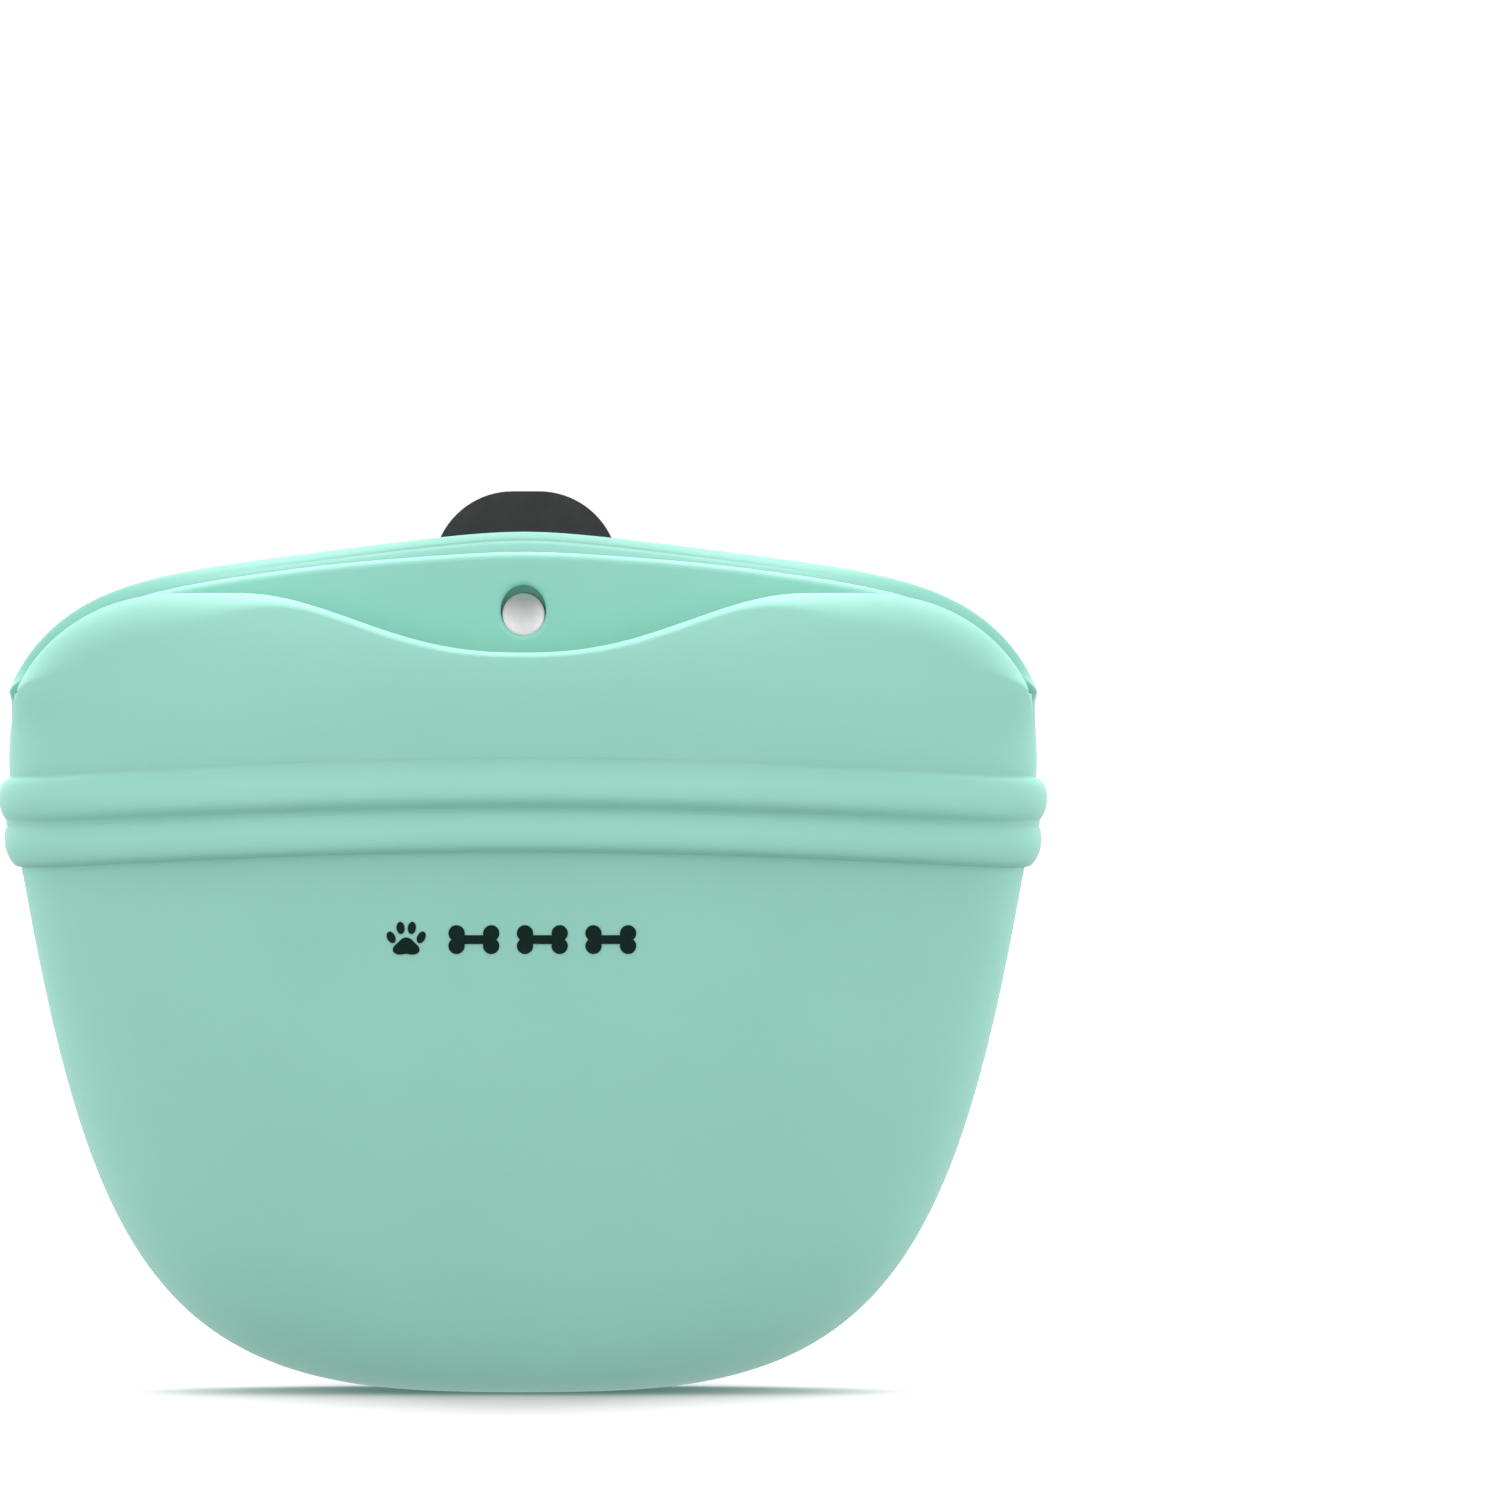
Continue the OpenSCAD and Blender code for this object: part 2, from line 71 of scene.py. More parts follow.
# Edges of the lips
LIP_FACE = 0.35  # gap from each inner face to the middle plane
LIP_EDGE = 2.6  # thickness at both ends of a lip
LEDGE_DEPTH = 1.3
BACK_EDGE_R = 1.5
DIP_EDGE_R = 1.0
CORNER_EDGE_R = 5.2
CREST_ANGLE = math.radians(68)
GROOVE_INSET = 1.2
GROOVE_HALF = 0.22
GROOVE_DEPTH = 0.1

# Beads and collar
BEAD_PROUD = 1.7
BEAD_HALF = 3.1
BEAD_MIDDLES = (73.0, 78.8)
BEAD_ARCH = 2.1
COLLAR_SWELL = 0.9

# Rivet and its well, which sits a little higher than the rivet
RIVET_HEIGHT = 103.9
RIVET_RADIUS = 2.9
HEAD_ROUND = 0.125
HEAD_BACK = 3.2
DISH_RADIUS = 2.65
DISH_DEPTH = 0.4
DISH_FLOOR = 2.85
SHANK_RADIUS = 2.0
TAIL_FRONT = 5.6
TAIL_BACK = 6.6
TAIL_RADIUS = 4.2
TAIL_ROUND = 0.3
TAIL_SEAT_RADIUS = RIVET_RADIUS + 1.5
WELL_HALF_WIDTH = 3.05
WELL_HALF_HEIGHT = 3.38
WELL_RISE = 0.57

# Control points of the bag's half section: its height, half width, front depth and back depth
BAG_HEIGHTS = (0.0, 0.0, 20.16, BAG_TOP)
BAG_WIDTHS = (10.0, 49.15, 58.4, 67.2)
BAG_FRONTS = (9.0, 24.0, 25.0, 15.2)
BAG_BACKS = (9.0, 16.0, 17.5, 17.0)

# Knots of height, value and slope
FRONT_KNOTS = ((70, 15.2, -0.2), (84, 12.6, -0.16), (95, 10.7, -0.23), (103, 7.9, -0.44), (109, 5.4, -0.36))
BACK_KNOTS = ((70, 17, 0), (86, 16.6, -0.15), (97, 11.2, -0.65), (106, 6.4, -0.3), (118, 4.8, -0.05))
WIDTH_KNOTS = ((70, 67.2, 0.18), (84, 68.85, 0.02), (92, 68.5, -0.02), (118, 68.5, 0))
BEAD_KNOTS = ((70, 0, 1.2), (70.4, 1.0, 1.8), (70.9, 1.5, 0.4), (71.6, 1.62, 0), (73.7, 1.3, -0.3),
              (75.1, 0.9, -0.28), (75.8, 0.52, -0.3), (76.6, 1.35, 0.9), (77.3, 1.7, 0.1),
              (78.3, 1.64, -0.16), (79.5, 1.38, -0.27), (80.9, 1.05, -0.18), (82.6, 0.9, 0))

# Rows and columns of the mesh
HALF_COLUMNS = 84
BAG_ROWS = 90
RING_ROWS = 72
INNER_ROWS = 36
LIP_ROWS = 44
ARC_ROWS = 12
RIM_ROWS = 40


def smooth(value):
    v = np.clip(value, 0, 1)
    return v * v * (3 - 2 * v)


def mix(a, b, share):
    return a + (b - a) * share


def bezier(p, t):
    return (1 - t) ** 3 * p[0] + 3 * (1 - t) ** 2 * t * p[1] + 3 * (1 - t) * t * t * p[2] + t**3 * p[3]


def bezier_slope(p, t):
    return 3 * (1 - t) ** 2 * (p[1] - p[0]) + 6 * (1 - t) * t * (p[2] - p[1]) + 3 * t * t * (p[3] - p[2])


def along(knots, z):
    """Smooth curve through knots of height, value and slope."""
    z = np.asarray(z, float)
    k = np.array(knots, float)
    i = np.clip(np.searchsorted(k[:, 0], z) - 1, 0, len(k) - 2)
    a, b = k[i], k[i + 1]
    h = b[..., 0] - a[..., 0]
    t = np.clip((z - a[..., 0]) / h, 0, 1)
    return ((1 + 2 * t) * (1 - t) ** 2 * a[..., 1] + t * (1 - t) ** 2 * h * a[..., 2]
            + t * t * (3 - 2 * t) * b[..., 1] - t * t * (1 - t) * h * b[..., 2])


def share_of_depth(c, n=SQUARENESS):
    """Share of the full depth that a rounded outline has at the share c of its half width."""
    return np.maximum(0, 1 - np.abs(c) ** n) ** (1 / n)


def back_top(x):
    """Height of the back lip's edge: a shallow arch with rounded corners."""
    u = np.minimum(1, np.abs(x) / BACK_EDGE_HALF_WIDTH)
    return 115 - 9.1 * (np.sqrt(u * u + 0.0144) - 0.12) - 13.5 * (1 - (1 - u**8) ** 0.78)


def front_top(x):
    """Height of the front lip's edge: a dip between two humps, then rounded corners."""
    a = np.abs(x)
    dip = 98.7 + 4.0 * (1 - np.cos(np.pi * np.minimum(1, a / 38) ** 1.2))
    corner = 13.2 * (1 - (1 - np.clip((a - 44) / 23.7, 0, 1) ** 2.5) ** 0.76)
    return dip - corner


def band_width(x):
    """Width of the rim between the top of the back lip and the cover strip."""
    return mix(2.7, 1.9, smooth(np.abs(x) / 30))


def rim_groove(inset):
    """Depth of the fine parting groove along the rim of the back lip, by distance below its top edge."""
    return GROOVE_DEPTH * np.exp(-((inset - GROOVE_INSET) / GROOVE_HALF) ** 2)


BEAD_Z = np.linspace(66, 90, 481)
BEAD_RAW = sum(BEAD_PROUD * np.sqrt(np.maximum(0, 1 - ((BEAD_Z - m) / BEAD_HALF) ** 2)) for m in BEAD_MIDDLES)
BEAD_SOFT = np.convolve(BEAD_RAW, np.ones(9) / 9, mode="same")


def beads(z):
    """How far the two bead rings stand proud at a height."""
    return np.interp(z, BEAD_Z, BEAD_SOFT)


def front_beads(z):
    """The beads on the front, where each droops a little and the upper one runs softly into the collar."""
    return np.where(z < SKIN_SEAM, along(BEAD_KNOTS, z), 0)


def collar_swell(z):
    """How much deeper the front of the collar is than the bag below it."""
    return np.where(z < SKIN_SEAM, 0, COLLAR_SWELL * (1 - smooth((z - 92) / 24)))


def arch(x, side, z):
    """How much the front of the beads rises towards the middle."""
    rise = BEAD_ARCH * np.cos(np.pi / 2 * np.clip(np.abs(x) / 64, 0, 1))
    return np.where(side > 0, 0, rise * smooth((z - 50) / 20) * (1 - smooth((z - 82.4) / 14)))


def beside_clip(x):
    """Fades the beads out where the belt clip sits on the back."""
    return smooth((np.abs(x) - 17) / 9)


def depth(side, z):
    return np.where(side > 0, along(BACK_KNOTS, z), along(FRONT_KNOTS, z) + collar_swell(z))


# ---------------------------------------------------------------- mesh helpers
def mesh_object(name, points, faces, sharp=0.7):
    """A smooth shaded object from points in mm, with doubled points merged."""
    mesh = bpy.data.meshes.new(name)
    mesh.from_pydata([tuple(p) for p in np.asarray(points, float) * MM], [], faces)
    bm = bmesh.new()
    bm.from_mesh(mesh)
    bmesh.ops.remove_doubles(bm, verts=bm.verts, dist=2e-6)
    bmesh.ops.dissolve_degenerate(bm, edges=bm.edges, dist=1e-6)
    bmesh.ops.recalc_face_normals(bm, faces=bm.faces)
    bm.to_mesh(mesh)
    bm.free()
    mesh.shade_smooth()
    mesh.set_sharp_from_angle(angle=sharp)
    piece = bpy.data.objects.new(name, mesh)
    bpy.context.collection.objects.link(piece)
    return piece


def apply_modifiers(piece):
    graph = bpy.context.evaluated_depsgraph_get()
    mesh = bpy.data.meshes.new_from_object(piece.evaluated_get(graph))
    piece.modifiers.clear()
    piece.data = mesh


def grid_faces(rows, columns, start=0, closed=False):
    faces = []
    for i in range(rows - 1):
        for j in range(columns if closed else columns - 1):
            k = (j + 1) % columns
            faces.append((start + i * columns + j, start + i * columns + k,
                          start + (i + 1) * columns + k, start + (i + 1) * columns + j))
    return faces


# ---------------------------------------------------------------- soft moulding
half = 2 * HALF_COLUMNS
steps = np.arange(half + 1)
near = np.minimum(steps, half - steps) / HALF_COLUMNS
factor = np.where(steps <= HALF_COLUMNS, 1, -1) * (1 - near**1.8)
ring_c = np.concatenate([factor, factor[::-1][1:-1]])
ring_side = np.concatenate([np.ones(half + 1), -np.ones(half - 1)])


def bag_row(t):
    n = mix(2.2, SQUARENESS, smooth(t / 0.6))
    z = bezier(BAG_HEIGHTS, t)
    d = np.where(ring_side > 0, bezier(BAG_BACKS, t), bezier(BAG_FRONTS, t))
    x = bezier(BAG_WIDTHS, t) * ring_c
    return np.stack([x, ring_side * d * share_of_depth(ring_c, n), z + arch(x, ring_side, z)], 1)


def bag_inner_row(t):
    n = mix(2.2, SQUARENESS, smooth(t / 0.6))
    dw = bezier_slope(BAG_WIDTHS, t)
    dz = bezier_slope(BAG_HEIGHTS, t)
    length = math.hypot(dw, dz)
    inset = WALL * dz / length
    d = np.where(ring_side > 0, bezier(BAG_BACKS, t), bezier(BAG_FRONTS, t)) - inset
    z = bezier(BAG_HEIGHTS, t) + WALL * dw / length
    x = (bezier(BAG_WIDTHS, t) - inset) * ring_c
    return np.stack([x, ring_side * d * share_of_depth(ring_c, n), np.full_like(x, z)], 1)


def ring_row(z):
    fade = beside_clip(HALF_WIDTH * ring_c)
    x = (along(WIDTH_KNOTS, z) + beads(z) * np.where(ring_side > 0, fade, 1)) * ring_c
    d = depth(ring_side, z) + np.where(ring_side > 0, beads(z) * fade, front_beads(z))
    return np.stack([x, ring_side * d * share_of_depth(ring_c), z + arch(x, ring_side, z)], 1)


def ring_inner_row(z):
    x = (along(WIDTH_KNOTS, z) - WALL) * ring_c
    d = depth(ring_side, z) - WALL
    return np.stack([x, ring_side * d * share_of_depth(ring_c), np.full_like(x, z)], 1)


def lip_edge(side):
    """Outline of a lip's edge, how far the lip has grown there (0 to 1) and its outside radius."""
    if side > 0:
        edge_x = BACK_EDGE_HALF_WIDTH * factor
        edge_z = back_top(edge_x)
        grown = smooth((edge_z - LIP_FOOT) / 5)
        return edge_x, edge_z, grown, BACK_EDGE_R * grown
    edge_x = FRONT_EDGE_HALF_WIDTH * factor
    edge_z = front_top(edge_x)
    grown = smooth((edge_z - LIP_FOOT) / 4)
    outer_r = mix(DIP_EDGE_R, CORNER_EDGE_R, smooth((np.abs(edge_x) - 26) / 27))
    return edge_x, edge_z, grown, outer_r * smooth((edge_z - 93.3) / 8.5) ** 0.7


def edge_normals(edge_x, edge_z):
    """Unit normals of a lip's edge, seen from the front, that point up and outwards."""
    tangent = np.stack([np.gradient(edge_x), np.gradient(edge_z)], 1)
    normal = np.stack([-tangent[:, 1], tangent[:, 0]], 1)
    normal /= np.linalg.norm(normal, axis=1)[:, None]
    normal *= np.where(normal[:, 1:] < 0, -1, 1)
    normal[0] = (1, 0)
    normal[-1] = (-1, 0)
    return normal


def lip_half_width(side, z):
    return along(WIDTH_KNOTS, z) + (0.4 * smooth((z - NOTCH) / 2) if side > 0 else 0)


def lip_depth(side, x, z):
    """Depth of the outside of a lip, which keeps some thickness at both ends."""
    thick = LIP_EDGE * smooth((z - LIP_SEAM) / 8)
    q = np.clip(x / lip_half_width(side, z), -1, 1)
    n = SQUARENESS if side > 0 else mix(SQUARENESS, LIP_SQUARENESS, smooth((z - SKIN_SEAM) / 16))
    share = share_of_depth(q, n)
    return depth(side, z) * share + thick * (1 - share) ** 2


def lip_crest(side, edge_x, edge_y, grown, outer_r):
    """Depth of a lip's inner face, depth of its crest and length of the slope between them."""
    if side > 0:
        face_y = mix(LIP_FACE, LEDGE_DEPTH, grown)
        rim = mix(1.8, 0.7, smooth((np.abs(edge_x) - 35) / 25))
        crest_y = np.minimum(face_y + rim, mix(face_y, edge_y, 0.6))
        return face_y, crest_y, band_width(edge_x) * grown
    face_y = np.full_like(edge_x, LIP_FACE)
    crest_y = edge_y - np.minimum(outer_r, 0.4 * (edge_y - LIP_FACE))
    return face_y, crest_y, (0.14 * np.maximum(0, crest_y - LIP_FACE) + 0.5) * grown


def outside_rows(side, top):
    """Rows of a lip's outside from the seam up to the line where its edge starts to round over."""
    rows = []
    top_q = np.clip(top[:, 0] / lip_half_width(side, top[:, 1]), -1, 1)
    for f in np.linspace(0, 1, LIP_ROWS + 1):
        z = mix(SKIN_SEAM, top[:, 1], f)
        q = mix(factor, top_q, f**3)
        x = lip_half_width(side, z) * q
        fade = beside_clip(x) if side > 0 else 1
        proud = beads(z) * fade if side > 0 else front_beads(z)
        y = lip_depth(side, x, z) + proud * share_of_depth(q)
        rows.append(np.stack([x + beads(z) * fade * q, side * y, z + arch(x, side, z)], 1))
    return rows


def edge_rows(side, edge, normal, outer_r, crest):
    """Rows over a lip's edge: the outside round, the crest and the slope down to the inner face."""
    rows = []
    face_y, crest_y, inner_r = crest
    edge_x, edge_z = edge[:, 0], edge[:, 1]
    edge_y = lip_depth(side, edge_x, edge_z)
    lift = arch(edge_x, side, edge_z)
    last = math.pi / 2 if side > 0 else CREST_ANGLE
    for a in np.linspace(0, last, ARC_ROWS + 1)[1:]:
        inset = outer_r * (1 - math.sin(a) / math.sin(last))
        p = edge - normal * inset[:, None]
        drop = (edge_y - crest_y) * (1 - math.cos(a)) / (1 - math.cos(last))
        y = lip_depth(side, p[:, 0], p[:, 1]) - drop
        rows.append(np.stack([p[:, 0], side * y, p[:, 1] + lift], 1))
    for a in np.linspace(0, math.pi / 2, (RIM_ROWS if side > 0 else ARC_ROWS) + 1)[1:]:
        slope = 0.75 * a / (math.pi / 2)
        inset = inner_r * (slope + 0.25 * (1 - math.cos(a)))
        y = crest_y + (face_y - crest_y) * (slope + 0.25 * math.sin(a))
        if side > 0:
            y = y + rim_groove(inset) * (1 - smooth((np.abs(edge_x) - 12) / 38))
        p = edge - normal * inset[:, None]
        rows.append(np.stack([p[:, 0], side * y, p[:, 1] + lift], 1))
    return rows


def inside_rows(side, face_top, face_y):
    """Rows of a lip's inside: down its face to the land, then round the hollow to the seam."""
    rows = []
    land_rows = LIP_ROWS // 3
    land_half_width = lip_half_width(side, LAND) - 0.3
    for f in np.linspace(0, 1, land_rows + 1)[1:]:
        x = mix(face_top[:, 0], factor * land_half_width, f)
        z = mix(face_top[:, 1], LAND, f)
        y = mix(LIP_FACE, face_y, smooth((z - 94.4) / 1.2))
        rows.append(np.stack([x, side * y, z], 1))
    seam_depth = depth(side, SKIN_SEAM) - WALL
    seam_half_width = along(WIDTH_KNOTS, SKIN_SEAM) - WALL
    for a in np.linspace(0, math.pi / 2, LIP_ROWS - land_rows + 1)[1:]:
        z = LAND - (LAND - SKIN_SEAM) * math.sin(a)
        y = mix(seam_depth * (1 - math.cos(a)), depth(side, z) - WALL, smooth((math.sin(a) - 0.6) / 0.4))
        y = y * share_of_depth(factor) + LIP_FACE * (1 - smooth(math.sin(a) * 3))
        w = mix(seam_half_width, land_half_width, smooth((z - 89.5) / (LAND - 89.5)))
        rows.append(np.stack([factor * w, side * y, np.full_like(factor, z)], 1))
    return rows


def lip_strip(side):
    """Rows of one lip from the outside of the seam, over the edge and down to the inside of the seam."""
    edge_x, edge_z, grown, outer_r = lip_edge(side)
    edge = np.stack([edge_x, edge_z], 1)
    normal = edge_normals(edge_x, edge_z)
    crest = lip_crest(side, edge_x, lip_depth(side, edge_x, edge_z), grown, outer_r)
    face_y, _, inner_r = crest
    rows = outside_rows(side, edge - normal * outer_r[:, None])
    rows += edge_rows(side, edge, normal, outer_r, crest)
    rows += inside_rows(side, edge - normal * inner_r[:, None], face_y)
    return np.array(rows)


def build_bag():
    """The bag with its back lip: outside, inside, base and the seam under the front lip."""
    outer = [bag_row(t) for t in np.linspace(0, 1, BAG_ROWS + 1)]
    outer += [ring_row(z) for z in np.linspace(BAG_TOP, SKIN_SEAM, RING_ROWS)[1:-1]]
    lip = lip_strip(1)
    front = lip_strip(-1)
    seam = ring_row(SKIN_SEAM)
    seam[:half + 1] = lip[0]
    seam[half + 1:] = front[0][::-1][1:-1]
    outer.append(seam)
    inner = [bag_inner_row(t) for t in np.linspace(0, 1, INNER_ROWS + 1)]
    inner += [ring_inner_row(z) for z in (74.0, 78.0)]
    inner_seam = ring_inner_row(SKIN_SEAM)
    inner_seam[:half + 1] = lip[-1]
    inner_seam[half + 1:] = front[-1][::-1][1:-1]
    inner.append(inner_seam)
    n = len(ring_c)
    base_points = np.array([[0, 0, 0], [0, 0, WALL]])
    points = np.concatenate(outer + inner + list(lip) + [base_points])
    inner_start = n * len(outer)
    lip_start = inner_start + n * len(inner)
    base_mid = lip_start + lip.shape[0] * (half + 1)
    faces = grid_faces(len(outer), n, 0, True)
    faces += grid_faces(len(inner), n, inner_start, True)
    faces += grid_faces(lip.shape[0], half + 1, lip_start)
    faces += [(base_mid, j, (j + 1) % n) for j in range(n)]
    faces += [(base_mid + 1, inner_start + j, inner_start + (j + 1) % n) for j in range(n)]
    outer_seam = n * (len(outer) - 1)
    inner_seam_start = inner_start + n * (len(inner) - 1)
    faces += [(outer_seam + j, outer_seam + (j + 1) % n, inner_seam_start + (j + 1) % n, inner_seam_start + j)
              for j in range(half, n)]
    faces += end_faces(lip, lip_start)
    return mesh_object("pouch_skin", points, faces)


def end_faces(strip, start):
    """Closes a lip strip at both sides by pairing its outside rows with its inside rows."""
    rows, columns = strip.shape[:2]
    faces = []
    for j in (0, columns - 1):
        for k in range(rows // 2):
            a, b = start + k * columns + j, start + (k + 1) * columns + j
            c, d = start + (rows - 2 - k) * columns + j, start + (rows - 1 - k) * columns + j
            faces.append((a, b, c, d) if b != c else (a, b, d))
    return faces


def build_front_lip():
    """The front lip, closed at the seam and at both ends."""
    lip = lip_strip(-1)
    points = np.concatenate(list(lip))
    rows, columns = lip.shape[:2]
    faces = grid_faces(rows, columns)
    last = (rows - 1) * columns
    faces += [(j, j + 1, last + j + 1, last + j) for j in range(columns - 1)]
    faces += end_faces(lip, 0)
    return mesh_object("front_lip_skin", points, faces)


def turned(name, profile, turns=96):
    """A solid of rings about the rivet's axis: each has a depth, half width, half height and rise in mm."""
    points = []
    for y, across, up, rise in profile:
        for k in range(turns):
            a = 2 * math.pi * k / turns
            points.append((across * math.cos(a), y, RIVET_HEIGHT + rise + up * math.sin(a)))
    faces = grid_faces(len(profile), turns, 0, True)
    faces.append(tuple(range(turns)))
    faces.append(tuple(range((len(profile) - 1) * turns, len(profile) * turns)))
    return mesh_object(name, points, faces, 0.6)


def drill_lip(piece):
    """Cuts the well, the shank hole and the rear spot face of the rivet through the back lip."""
    well = (WELL_HALF_WIDTH, WELL_HALF_HEIGHT, WELL_RISE)
    shank = (SHANK_RADIUS, SHANK_RADIUS, 0)
    rear = (TAIL_SEAT_RADIUS, TAIL_SEAT_RADIUS, 0)
    cutter = turned("rivet_cutter", [(-3.0, *well), (HEAD_BACK, *well), (HEAD_BACK, *shank),
                                     (TAIL_FRONT, *shank), (TAIL_FRONT, *rear), (20.0, *rear)])
    cut = piece.modifiers.new("well", "BOOLEAN")
    cut.operation = "DIFFERENCE"
    cut.solver = "MANIFOLD"
    cut.object = cutter
    bpy.context.view_layer.update()
    apply_modifiers(piece)
    bpy.data.objects.remove(cutter)
    piece.data.shade_smooth()
    piece.data.set_sharp_from_angle(angle=0.7)


def build_rivet():
    """Rivet with a dished, rounded head and a flat tail with a rounded edge."""
    dish = [(DISH_FLOOR - DISH_DEPTH * (r / DISH_RADIUS) ** 2, r) for r in np.linspace(0.02, DISH_RADIUS, 24)]
    rim = [(2.5 - 0.1 * math.sin(a), RIVET_RADIUS - HEAD_ROUND * (1 + math.cos(a)))
           for a in np.linspace(0.5, math.pi, 9)]
    shank = [(HEAD_BACK, RIVET_RADIUS), (HEAD_BACK, SHANK_RADIUS), (TAIL_FRONT, SHANK_RADIUS)]
    tail = [(TAIL_FRONT, TAIL_RADIUS - 0.05), (TAIL_FRONT + 0.1, TAIL_RADIUS)]
    tail += [(TAIL_BACK - TAIL_ROUND * (1 - math.sin(a)), TAIL_RADIUS - TAIL_ROUND * (1 - math.cos(a)))
             for a in np.linspace(0, math.pi / 2, 8)]
    profile = dish + rim + shank + tail + [(TAIL_BACK, 0.02)]
    return turned("rivet", [(y, r, r, 0) for y, r in profile])


# ---------------------------------------------------------------- materials
def new_material(name):
    material = bpy.data.materials.new(name)
    material.use_nodes = True
    tree = material.node_tree
    tree.nodes.clear()
    out = tree.nodes.new("ShaderNodeOutputMaterial")
    shader = tree.nodes.new("ShaderNodeBsdfPrincipled")
    tree.links.new(shader.outputs[0], out.inputs[0])
    return material, tree, shader


def noise_node(tree, scale, detail=3.0, rough=0.5):
    place = tree.nodes.new("ShaderNodeTexCoord")
    node = tree.nodes.new("ShaderNodeTexNoise")
    node.inputs["Scale"].default_value = scale
    node.inputs["Detail"].default_value = detail
    node.inputs["Roughness"].default_value = rough
    tree.links.new(place.outputs["Object"], node.inputs["Vector"])
    return node


def ramp_node(tree, source, low, high, low_value, high_value):
    node = tree.nodes.new("ShaderNodeMapRange")
    node.inputs["From Min"].default_value = low
    node.inputs["From Max"].default_value = high
    node.inputs["To Min"].default_value = low_value
    node.inputs["To Max"].default_value = high_value
    tree.links.new(source, node.inputs["Value"])
    return node


def vary_roughness(tree, shader, noise, low, high):
    """Lets a noise drive the roughness between two values."""
    ramp = ramp_node(tree, noise.outputs[0], 0.3, 0.7, low, high)
    tree.links.new(ramp.outputs[0], shader.inputs["Roughness"])


def mix_colour(tree, share, a, b):
    node = tree.nodes.new("ShaderNodeMix")
    node.data_type = "RGBA"
    node.inputs[6].default_value = (*a, 1)
    node.inputs[7].default_value = (*b, 1)
    tree.links.new(share, node.inputs[0])
    return node


def bump_node(tree, height, strength, distance, below=None):
    node = tree.nodes.new("ShaderNodeBump")
    node.inputs["Strength"].default_value = strength
    node.inputs["Distance"].default_value = distance
    tree.links.new(height, node.inputs["Height"])
    if below is not None:
        tree.links.new(below.outputs[0], node.inputs["Normal"])
    return node


def silicone(name, base, deep):
    """Matte moulded silicone: faint cloudiness, a fine skin and a few pale specks of dust."""
    material, tree, shader = new_material(name)
    cloud = noise_node(tree, 38.0, 4.0)
    body = mix_colour(tree, ramp_node(tree, cloud.outputs[0], 0.3, 0.7, 0, 1).outputs[0], deep, base)
    place = tree.nodes.new("ShaderNodeTexCoord")
    speck = tree.nodes.new("ShaderNodeTexVoronoi")
    speck.inputs["Scale"].default_value = 210.0
    tree.links.new(place.outputs["Object"], speck.inputs["Vector"])
    patch = noise_node(tree, 60.0, 2.0)
    rare = ramp_node(tree, patch.outputs[0], 0.66, 0.72, 0, 0.5)
    dot = ramp_node(tree, speck.outputs["Distance"], 0.035, 0.02, 0, 1)
    both = tree.nodes.new("ShaderNodeMath")
    both.operation = "MULTIPLY"
    tree.links.new(rare.outputs[0], both.inputs[0])
    tree.links.new(dot.outputs[0], both.inputs[1])
    dusty = tree.nodes.new("ShaderNodeMix")
    dusty.data_type = "RGBA"
    dusty.inputs[7].default_value = (0.72, 0.95, 0.88, 1)
    tree.links.new(both.outputs[0], dusty.inputs[0])
    tree.links.new(body.outputs[2], dusty.inputs[6])
    tree.links.new(dusty.outputs[2], shader.inputs["Base Color"])
    rough = noise_node(tree, 900.0, 2.0)
    vary_roughness(tree, shader, rough, 0.5, 0.62)
    grain = noise_node(tree, 5200.0, 2.0)
    wave = noise_node(tree, 95.0, 2.0)
    soft = bump_node(tree, wave.outputs[0], 0.06, 0.0006)
    fine = bump_node(tree, grain.outputs[0], 0.10, 0.00004, soft)
    tree.links.new(fine.outputs[0], shader.inputs["Normal"])
    shader.inputs["Specular IOR Level"].default_value = 0.35
    shader.inputs["Sheen Weight"].default_value = 0.12
    shader.inputs["Sheen Roughness"].default_value = 0.5
    shader.inputs["Subsurface Weight"].default_value = 0.18
    shader.inputs["Subsurface Radius"].default_value = (0.6, 1.0, 0.9)
    shader.inputs["Subsurface Scale"].default_value = 0.002
    return material


def moulded_plastic(name, base, worn):
    """Black moulded plastic with a spark-eroded texture and paler rubbed patches."""
    material, tree, shader = new_material(name)
    rub = noise_node(tree, 130.0, 5.0, 0.6)
    body = mix_colour(tree, ramp_node(tree, rub.outputs[0], 0.45, 0.75, 0, 1).outputs[0], base, worn)
    tree.links.new(body.outputs[2], shader.inputs["Base Color"])
    vary_roughness(tree, shader, rub, 0.5, 0.38)
    grain = noise_node(tree, 2600.0, 3.0, 0.6)
    bump = bump_node(tree, grain.outputs[0], 0.35, 0.00012)
    tree.links.new(bump.outputs[0], shader.inputs["Normal"])
    shader.inputs["Specular IOR Level"].default_value = 0.5
    return material


